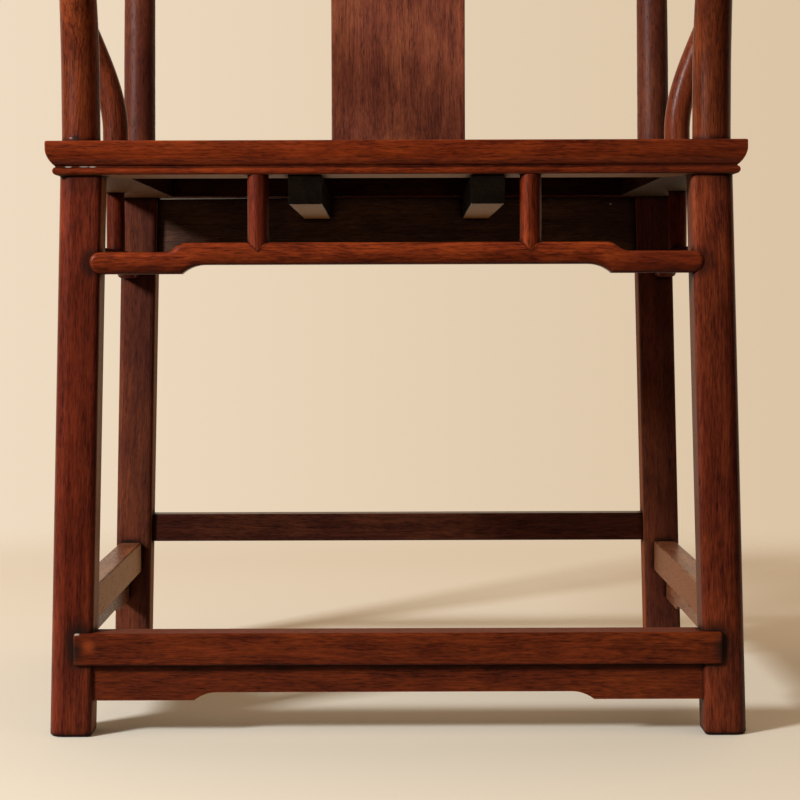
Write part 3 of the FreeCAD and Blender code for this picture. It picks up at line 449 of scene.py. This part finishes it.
# Palettes: pale wood, deep wood and index of refraction.
red = ((0.120, 0.0185, 0.0075), (0.030, 0.0042, 0.0025), varnish_ior)
warm = ((0.214, 0.0318, 0.0072), (0.050, 0.0067, 0.0025), varnish_ior)
glow = ((0.172, 0.0262, 0.0068), (0.040, 0.0056, 0.0022), varnish_ior)
rusty = ((0.123, 0.0208, 0.0058), (0.029, 0.0046, 0.0021), varnish_ior)
dusky = ((0.120, 0.0215, 0.0090), (0.030, 0.0050, 0.0030), varnish_ior)
murky = ((0.104, 0.0245, 0.0130), (0.043, 0.0100, 0.0066), varnish_ior)
post = ((0.160, 0.0330, 0.0125), (0.040, 0.0075, 0.0040), varnish_ior)
brown = ((0.143, 0.0385, 0.0212), (0.053, 0.0128, 0.0080), varnish_ior)
dark = ((0.058, 0.0140, 0.0078), (0.015, 0.0040, 0.0027), varnish_ior)
# The tan palette is partly a painted reflection: the grazing faces of the side stretchers and side aprons
# mirror the pale paper.
tan = ((0.200, 0.0720, 0.0360), (0.080, 0.0250, 0.0130), varnish_ior)
# The back apron's shaded palette is painted shade under the seat; the braces' near-black palette is bare
# wood, darkened further by painted shade.
shaded = ((0.098, 0.0480, 0.0340), (0.037, 0.0190, 0.0140), bare_ior)
bare_and_shaded = ((0.007, 0.0042, 0.0030), (0.003, 0.0018, 0.0013), bare_ior)

members = {
    "seat_rail_front": ("x", warm), "seat_rail_back": ("x", dusky),
    "seat_rail_left": ("y", red), "seat_rail_right": ("y", red),
    "mat_strip_front": ("x", red), "mat_strip_back": ("x", red),
    "mat_strip_left": ("y", red), "mat_strip_right": ("y", red),
    "front_leg_left": ("z", red), "front_leg_right": ("z", dusky),
    "back_leg_left": ("z", murky), "back_leg_right": ("z", murky),
    "armrest_left": ("y", red), "armrest_right": ("y", red),
    "side_post_left": ("z", post), "side_post_right": ("z", post),
    "crest_rail": ("x", red), "splat": ("z", brown),
    "seat_brace_left": ("y", bare_and_shaded), "seat_brace_right": ("y", bare_and_shaded),
    "front_hump_stretcher": ("x", glow),
    "side_hump_stretcher_left": ("y", red), "side_hump_stretcher_right": ("y", red),
    "front_strut_left": ("z", red), "front_strut_right": ("z", glow),
    "side_strut_front_left": ("z", red), "side_strut_front_right": ("z", red),
    "side_strut_back_left": ("z", red), "side_strut_back_right": ("z", red),
    "back_apron": ("x", shaded),
    "footrest": ("x", rusty), "footrest_apron": ("x", rusty),
    "side_stretcher_left": ("y", tan), "side_stretcher_right": ("y", tan),
    "side_apron_left": ("y", tan), "side_apron_right": ("y", tan),
    "back_stretcher": ("x", dark),
}

# Faces painted with the reflection or shade that they show, paler or darker than the rest of their member:
# the way they look, and their colour.
faces_with_painted_light = {
    "front_leg_left": ((1.0, 0.0, 0.0), (0.27, 0.092, 0.024)),
    "back_leg_left": ((1.0, 0.0, 0.0), (0.27, 0.092, 0.024)),
    "front_leg_right": ((-1.0, 0.0, 0.0), (0.070, 0.019, 0.010)),
    "back_leg_right": ((-1.0, 0.0, 0.0), (0.20, 0.045, 0.010)),
    "side_stretcher_left": ((1.0, 0.0, 0.0), (0.40, 0.205, 0.095)),
    "side_stretcher_right": ((-1.0, 0.0, 0.0), (0.165, 0.058, 0.022)),
    "footrest": ((0.0, 0.0, 1.0), (0.112, 0.016, 0.003)),
    "seat_brace_left": ((0.0, 0.0, -1.0), (0.20, 0.095, 0.030)),
    "seat_brace_right": ((0.0, 0.0, -1.0), (0.20, 0.095, 0.030)),
    "seat_rail_front": ((0.0, 0.0, -1.0), (0.24, 0.105, 0.040)),
    "seat_rail_left": ((0.0, 0.0, -1.0), (0.115, 0.054, 0.024)),
    "seat_rail_right": ((0.0, 0.0, -1.0), (0.045, 0.026, 0.014)),
}

# Small marks: centre, reach, colour, strength and, for some, the share of the reach that is their core.
filler = (0.42, 0.36, 0.31)
ember = (0.26, 0.050, 0.012)
painted_shade_wine = (0.050, 0.008, 0.004)
marks = {
    "seat_rail_front": [
        ((-0.2798, -0.231, 0.4904), (0.0036, 0.02, 0.0007), filler, 0.7),
        ((-0.2665, -0.231, 0.4905), (0.0050, 0.02, 0.0006), filler, 0.5),
        ((-0.2590, -0.231, 0.4904), (0.0036, 0.02, 0.0007), filler, 0.7),
        # Painted shade: the rail darkens towards its right end
        ((0.2900, -0.2350, 0.5000), (0.1700, 0.04, 0.0900), painted_shade_wine, 0.50, 0.30)],
    # Painted shade: the stretcher darkens towards its right end
    "front_hump_stretcher": [((0.2600, -0.2200, 0.4100), (0.1100, 0.04, 0.0500), painted_shade_wine, 0.35, 0.40)],
    "seat_rail_back": [((-0.0105, 0.162, 0.4935), (0.0036, 0.01, 0.0036), soot_and_shade, 0.9)],
    "front_leg_left": [
        ((-0.2750, -0.2300, 0.0800), (0.0180, 0.03, 0.0300), soot_and_shade, 0.90, 0.35),
        ((-0.2620, -0.2250, 0.4085), (0.0120, 0.03, 0.0170), soot_and_shade, 0.75, 0.40),
        # The broad dark band at the top of the leg, under the seat rail, is painted shade
        ((-0.2750, -0.2245, 0.4836), (0.0500, 0.03, 0.0240), soot_and_shade, 0.38, 0.10),
        ((-0.2747, -0.2245, 0.5160), (0.0034, 0.01, 0.0018), soot_and_shade, 0.7),
        ((-0.2785, -0.2245, 0.5155), (0.0022, 0.01, 0.0010), filler, 0.3)],
    "front_leg_right": [
        ((0.2750, -0.2300, 0.0780), (0.0180, 0.03, 0.0290), soot_and_shade, 0.90, 0.35),
        ((0.2620, -0.2250, 0.4085), (0.0120, 0.03, 0.0170), soot_and_shade, 0.60, 0.40),
        # The broad dark band at the top of the leg, under the seat rail, is painted shade
        ((0.2750, -0.2245, 0.4836), (0.0500, 0.03, 0.0200), soot_and_shade, 0.28, 0.10)],
    "back_leg_left": [((-0.2844, 0.1845, 0.1205), (0.0078, 0.01, 0.0016), soot_and_shade, 0.9)],
    "footrest": [
        ((-0.2790, -0.2363, 0.0740), (0.0110, 0.03, 0.0170), soot_and_shade, 0.75, 0.20),
        ((-0.2660, -0.2363, 0.0795), (0.0085, 0.02, 0.0090), ember, 0.55, 0.05),
        ((-0.2760, -0.2363, 0.0900), (0.0030, 0.006, 0.0013), filler, 0.70, 0.30),
        ((0.2790, -0.2363, 0.0760), (0.0110, 0.03, 0.0180), soot_and_shade, 0.75, 0.20)],
    "back_apron": [((0.2258, 0.1905, 0.4760), (0.0014, 0.01, 0.0012), filler, 0.9)],
}

# Where a member changes its colour on its way up: from one height to another, by a tint.
leg_height_tint = (0.385, 0.435, (1.42, 1.48, 1.45))
height_tints = {
    "front_leg_left": [leg_height_tint, (0.500, 0.535, (1.06, 1.28, 1.05))],
    "front_leg_right": [leg_height_tint, (0.500, 0.535, (0.81, 0.89, 0.76))],
    # The splat is painted paler towards its top: a painted sheen.
    "splat": [(0.520, 0.640, (1.50, 1.56, 1.62))],
}

# Each member is cut from a place of its own: how far from the trunk's middle, and how far along it.
trunk_reach = (0.03, 0.10)
trunk_heights = (-3.0, 3.0)
trunk_seed = 7
draw = random.Random(trunk_seed)
for node_name, (grain, palette) in members.items():
    away, about = draw.uniform(*trunk_reach), draw.uniform(0.0, 2 * math.pi)
    place = (away * math.cos(about), away * math.sin(about), draw.uniform(*trunk_heights))
    made = wood(node_name, grain, *palette, place, marks.get(node_name, []), height_tints.get(node_name, []))
    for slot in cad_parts[node_name].material_slots:
        slot.material = made

# Pegs: bamboo, with fine lines along it
peg_stretch, peg_noise = (1.0, 1.0, 0.05), (1800.0, 2.0)
peg_deep, peg_pale = (0.22, 0.12, 0.05), (0.42, 0.26, 0.12)
peg_rough_ramp = (0.3, 0.7, 0.5, 0.65)
peg_bump_depth = 0.0001
peg_ior = 1.4


def bamboo():
    material, net = new_material("bamboo_pegs")
    fine = net.drawn_noise(net.place(), peg_stretch, peg_noise)
    base = net.mix(fine, colour(peg_deep), colour(peg_pale))
    finish_material(net, base, net.ramp(fine, *peg_rough_ramp), fine, peg_bump_depth, peg_ior)
    return material


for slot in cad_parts["mat_pegs"].material_slots:
    slot.material = bamboo()


# Seat: a woven cane mat on a palm-fibre backing, held in the rabbet by the strips.
mat_centre = (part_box("seat_mat")[0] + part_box("seat_mat")[1]) / 2
mat_under_z = 0.5063
mat_sag = 0.007
weave_half = Vector((0.23535, 0.16885, 0.0))
backing_thickness = 0.0006
backing_cells = (60, 44)
weave_mid_z = mat_under_z + 0.0010
ribbon_pitch = 0.0050
ribbon_width = 0.0046
ribbon_lift = 0.00034
ribbon_crown = 0.00012
weave_repeat = 16
twill_over = 2


def sag_at(x, y):
    """How far the mat hangs below its edge at a point, most at the middle."""
    across = max(0.0, 1.0 - (x / weave_half.x) ** 2)
    along = max(0.0, 1.0 - ((y - mat_centre.y) / weave_half.y) ** 2)
    return mat_sag * across * along


def mesh_object(name, points, faces):
    mesh = bpy.data.meshes.new(name)
    mesh.from_pydata(points, [], faces)
    mesh.shade_smooth()
    made = bpy.data.objects.new(name, mesh)
    bpy.context.collection.objects.link(made)
    return made


def make_backing():
    """A thin closed sheet of palm fibre, from rabbet to rabbet."""
    box_low, box_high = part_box("seat_mat")
    columns, rows = backing_cells
    points, faces = [], []
    for layer in (0.0, backing_thickness):
        for i in range(columns + 1):
            for j in range(rows + 1):
                x = box_low.x + (box_high.x - box_low.x) * i / columns
                y = box_low.y + (box_high.y - box_low.y) * j / rows
                points.append((x, y, mat_under_z + layer - sag_at(x, y)))
    step = rows + 1
    top = (columns + 1) * step
    for i in range(columns):
        for j in range(rows):
            corner = i * step + j
            loop = (corner, corner + step, corner + step + 1, corner + 1)
            faces.append(tuple(reversed(loop)))
            faces.append(tuple(top + k for k in loop))
    rim = [i * step for i in range(columns)]
    rim += [columns * step + j for j in range(rows)]
    rim += [i * step + rows for i in range(columns, 0, -1)]
    rim += [j for j in range(rows, 0, -1)]
    for here, there in zip(rim, rim[1:] + rim[:1]):
        faces.append((here, there, top + there, top + here))
    return mesh_object("seat_backing", points, faces)


def over(i, j):
    """Whether the ribbon that runs front to back passes over at a crossing, counted from the middle."""
    half = weave_repeat // 2
    steps = abs((i + half) % weave_repeat - half) + abs((j + half) % weave_repeat - half)
    return steps % (2 * twill_over) < twill_over


def make_weave():
    """Cane ribbons in a two over, two under twill that turns back to form diamonds."""
    count_x = int(2 * weave_half.x / ribbon_pitch)
    count_y = int(2 * weave_half.y / ribbon_pitch)
    start_x = -ribbon_pitch * (count_x - 1) / 2
    start_y = mat_centre.y - ribbon_pitch * (count_y - 1) / 2
    middle_i, middle_j = count_x // 2, count_y // 2
    points, faces, cane_slots = [], [], []

    def ribbon(side, places, lifts, lengthways):
        base = len(points)
        for along, lift in zip(places, lifts):
            for across, crown in ((-0.5, 0.0), (0.0, ribbon_crown), (0.5, 0.0)):
                offset = side + across * ribbon_width
                x, y = (offset, along) if lengthways else (along, offset)
                points.append((x, y, weave_mid_z + lift + crown - sag_at(x, y)))
        for k in range(len(places) - 1):
            for m in range(2):
                corner = base + 3 * k + m
                loop = (corner, corner + 1, corner + 4, corner + 3)
                faces.append(loop if lengthways else tuple(reversed(loop)))
                cane_slots.append(0 if lengthways else 1)

    def run(start, count, signs):
        """Stations along a ribbon: the middle of each crossing and the gap after it."""
        places, lifts = [], []
        for k in range(count):
            places.append(start + k * ribbon_pitch)
            lifts.append(ribbon_lift * signs[k])
            if k < count - 1:
                places.append(start + (k + 0.5) * ribbon_pitch)
                lifts.append(ribbon_lift * (signs[k] + signs[k + 1]) / 2)
        return places, lifts

    for i in range(count_x):
        signs = [1 if over(i - middle_i, j - middle_j) else -1 for j in range(count_y)]
        places, lifts = run(start_y, count_y, signs)
        ribbon(start_x + i * ribbon_pitch, places, lifts, True)
    for j in range(count_y):
        signs = [-1 if over(i - middle_i, j - middle_j) else 1 for i in range(count_x)]
        places, lifts = run(start_x, count_x, signs)
        ribbon(start_y + j * ribbon_pitch, places, lifts, False)
    made = mesh_object("seat_weave", points, faces)
    made.data.polygons.foreach_set("material_index", cane_slots)
    return made


# Cane, by the way that its ribbons run: the squeeze along them, the pale colour and the deep one.
cane_looks = {
    # The lengthways ribbons are painted paler than the crosswise ones: a painted sheen.
    "cane_lengthways": ((1.0, 0.03, 1.0), (0.50, 0.320, 0.155), (0.35, 0.205, 0.092)),
    "cane_crosswise": ((0.03, 1.0, 1.0), (0.39, 0.235, 0.108), (0.26, 0.145, 0.062)),
}
cane_line = (0.17, 0.085, 0.035)
cane_ribbon_noise, cane_fine_noise, cane_wide_noise = (230.0, 1.0), (1900.0, 2.0), (14.0, 2.0)
cane_ribbon_share, cane_wide_share = 0.6, 0.4
cane_tone_ramp = (0.34, 0.64)
cane_line_ramp = (0.48, 0.72, 0.0, 0.45)
cane_hollow_distance, cane_hollow_samples = 0.0016, 6
cane_hollow_shade_ramp = (0.45, 0.95, 0.30, 1.0)
cane_rough_ramp = (0.3, 0.7, 0.36, 0.52)
cane_bump_depth = 0.00015
cane_ior = 1.4


def cane(name, squeeze, pale, deep):
    """Split cane. The squeeze draws its figure out along the ribbons, so each ribbon has its own tone."""
    material, net = new_material(name)
    at = net.place()
    ribbon = net.drawn_noise(at, squeeze, cane_ribbon_noise)
    fine = net.drawn_noise(at, squeeze, cane_fine_noise)
    wide = net.noise(at, *cane_wide_noise).outputs[0]
    tone = net.math("MULTIPLY_ADD", wide, cane_wide_share, net.math("MULTIPLY", ribbon, cane_ribbon_share))
    base = net.mix(net.ramp(tone, *cane_tone_ramp), colour(deep), colour(pale))
    base = net.mix(net.ramp(fine, *cane_line_ramp), base, colour(cane_line))
    openness = net.openness(cane_hollow_distance, cane_hollow_samples)
    # Painted shade darkens the cane in the hollows between its ribbons
    base = net.tint(base, net.ramp(openness, *cane_hollow_shade_ramp))
    finish_material(net, base, net.ramp(fine, *cane_rough_ramp), fine, cane_bump_depth, cane_ior)
    return material


# Backing: coarse dark fibres, crossed
hair_stretch, hair_stretch_across = (1.0, 0.08, 1.0), (0.08, 1.0, 1.0)
hair_noise, hair_ramp = (900.0, 3.0), (0.45, 0.75)
hair_deep, hair_pale = (0.035, 0.020, 0.011), (0.16, 0.095, 0.05)
hair_rough_ramp = (0.3, 0.7, 0.9, 0.75)
hair_bump_depth = 0.0006
hair_ior = 1.3


def palm_fibre():
    material, net = new_material("palm_fibre")
    at = net.place()
    hair = net.drawn_noise(at, hair_stretch, hair_noise)
    hair = net.math("MAXIMUM", hair, net.drawn_noise(at, hair_stretch_across, hair_noise))
    base = net.mix(net.ramp(hair, *hair_ramp), colour(hair_deep), colour(hair_pale))
    finish_material(net, base, net.ramp(hair, *hair_rough_ramp), hair, hair_bump_depth, hair_ior)
    return material


backing = make_backing()
backing.data.materials.append(palm_fibre())
weave = make_weave()
for cane_name, looks in cane_looks.items():
    weave.data.materials.append(cane(cane_name, *looks))
for piece in (backing, weave):
    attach(piece, "root")
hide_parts("seat_mat")


def make_camera():
    data = bpy.data.cameras.new("camera")
    data.lens = camera_lens_mm
    data.sensor_width = camera_sensor_mm
    made = bpy.data.objects.new("camera", data)
    tip = Matrix.Rotation(math.pi / 2 - camera_pitch_down, 4, "X")
    turn = Matrix.Rotation(-camera_turn_right, 4, "Z")
    roll = Matrix.Rotation(-camera_roll, 4, "Z")
    made.matrix_world = Matrix.Translation(camera_place) @ turn @ tip @ roll
    bpy.context.collection.objects.link(made)
    bpy.context.scene.camera = made


def make_key():
    data = bpy.data.lights.new("key", "AREA")
    data.shape = "SQUARE"
    data.size = key_size
    data.energy = key_power
    data.color = key_colour
    made = bpy.data.objects.new("key", data)
    made.location = key_place
    aim = Vector(key_target) - Vector(key_place)
    made.rotation_euler = aim.to_track_quat("-Z", "Y").to_euler()
    bpy.context.collection.objects.link(made)


def make_world():
    world = bpy.data.worlds.new("studio")
    world.use_nodes = True
    world.node_tree.nodes.clear()
    net = Net(world.node_tree)
    direction = net.node("ShaderNodeTexCoord").outputs["Generated"]
    x, y, _ = net.split(direction)
    across = net.ramp(x, -backdrop_reach, backdrop_reach, smooth=False)
    paper = net.mix(across, colour(backdrop_left), colour(backdrop_right))
    mirrored = net.mix(net.ramp(y, *backdrop_edge_ramp), colour(room_colour), paper)
    path = net.node("ShaderNodeLightPath").outputs
    backdrop = net.mix(path["Is Glossy Ray"], paper, mirrored)
    facing = net.vector("DOT_PRODUCT", direction, sky_axis)
    sky = net.ramp(facing, *sky_ramp)
    seen = net.node("ShaderNodeBackground", {0: backdrop, 1: 1.0})
    light = net.node("ShaderNodeBackground", {0: colour(sky_colour), 1: sky})
    direct = net.math("MAXIMUM", path["Is Camera Ray"], path["Is Glossy Ray"])
    direct = net.math("MAXIMUM", direct, path["Is Transmission Ray"])
    both = net.node("ShaderNodeMixShader", {0: direct, 1: light.outputs[0], 2: seen.outputs[0]})
    net.node("ShaderNodeOutputWorld", {0: both.outputs[0]})
    bpy.context.scene.world = world


def make_floor():
    bpy.ops.mesh.primitive_circle_add(vertices=floor_corners, radius=floor_radius, fill_type="NGON")
    floor = bpy.context.object
    floor.name = "floor"
    material, net = new_material("floor_paper")
    at = net.place()
    forward = net.math("MULTIPLY", net.split(at)[1], -1.0)
    path = net.node("ShaderNodeLightPath").outputs
    unseen = net.math("SUBTRACT", 1.0, path["Is Camera Ray"])
    dim = net.math("MULTIPLY", net.ramp(forward, *floor_front_ramp), unseen)
    clear = net.math("MAXIMUM", net.ramp(net.from_axis(at), *floor_fade_ramp), dim)
    paper = net.ramp(net.noise(at, *floor_grain_noise).outputs[0], *floor_grain_ramp)
    mirrored = net.math("MAXIMUM", path["Is Camera Ray"], path["Is Glossy Ray"])
    shade = net.mix(mirrored, colour(floor_lit), colour(floor_seen))
    # Painted light: paler towards the back, darker towards the front
    shade = net.tint(shade, net.math("MULTIPLY", paper, net.ramp(forward, *floor_forward_ramp)))
    matt = net.node("ShaderNodeBsdfDiffuse", {"Color": shade})
    through = net.node("ShaderNodeBsdfTransparent")
    both = net.node("ShaderNodeMixShader", {0: clear, 1: matt.outputs[0], 2: through.outputs[0]})
    net.node("ShaderNodeOutputMaterial", {0: both.outputs[0]})
    floor.data.materials.append(material)


make_camera()
make_key()
make_world()
make_floor()
bpy.context.scene.view_settings.view_transform = "Standard"
